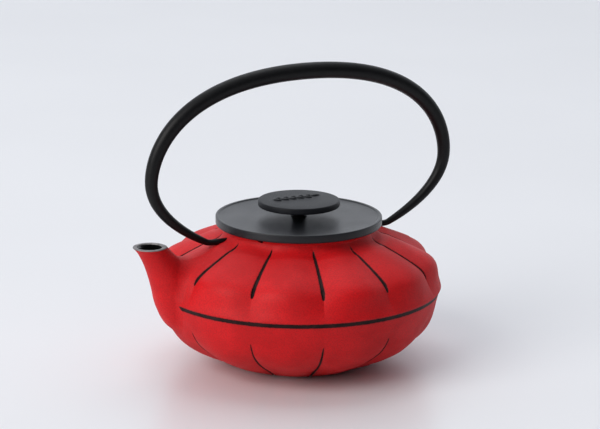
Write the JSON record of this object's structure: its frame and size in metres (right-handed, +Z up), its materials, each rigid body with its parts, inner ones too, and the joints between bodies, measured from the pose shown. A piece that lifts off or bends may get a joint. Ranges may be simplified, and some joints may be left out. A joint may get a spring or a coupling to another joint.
{
  "type": "cast iron teapot",
  "caption": "Squat round cast iron teapot with a lobed body, a short upward spout, a tall swinging hoop handle, a flat lid with a disc knob and a lift-out steel infuser.",
  "frame": {"origin": "on the body's axis, at the surface that the foot ring stands on", "axes": "+Z up along the body's axis; the spout points along -X; the handle's pins lie on a line along X"},
  "size_m": [0.1985, 0.1656, 0.1764],
  "materials": {
    "red_enamel_iron": "red paint over sand-cast iron",
    "black_iron": "black satin paint",
    "grey_iron": "dark grey matt paint over sand-cast iron",
    "stainless_steel": "brushed"
  },
  "bodies": {
    "pot": {"pot_body": "red_enamel_iron"},
    "handle": {"handle_hoop": "black_iron"},
    "infuser": {"infuser_rim": "stainless_steel", "infuser_wall": "stainless_steel", "infuser_band": "stainless_steel", "infuser_bottom": "stainless_steel"},
    "lid": {"lid_plate": "grey_iron", "knob_disc": "grey_iron", "knob_stem": "black_iron", "knob_washer": "stainless_steel", "knob_nut": "stainless_steel"}
  },
  "joints": [
    {"name": "handle_swing", "type": "hinge", "parent": "pot", "child": "handle", "pos_m": [0, 0, 0.07545], "axis": [1, 0, 0], "range_deg": [-117, 109]},
    {"name": "infuser_lift", "type": "slide", "parent": "pot", "child": "infuser", "axis": [0, 0, 1], "range_m": [0, 0.06]},
    {"name": "lid_lift", "type": "slide", "parent": "infuser", "child": "lid", "axis": [0, 0, 1], "range_m": [0, 0.06]}
  ]
}
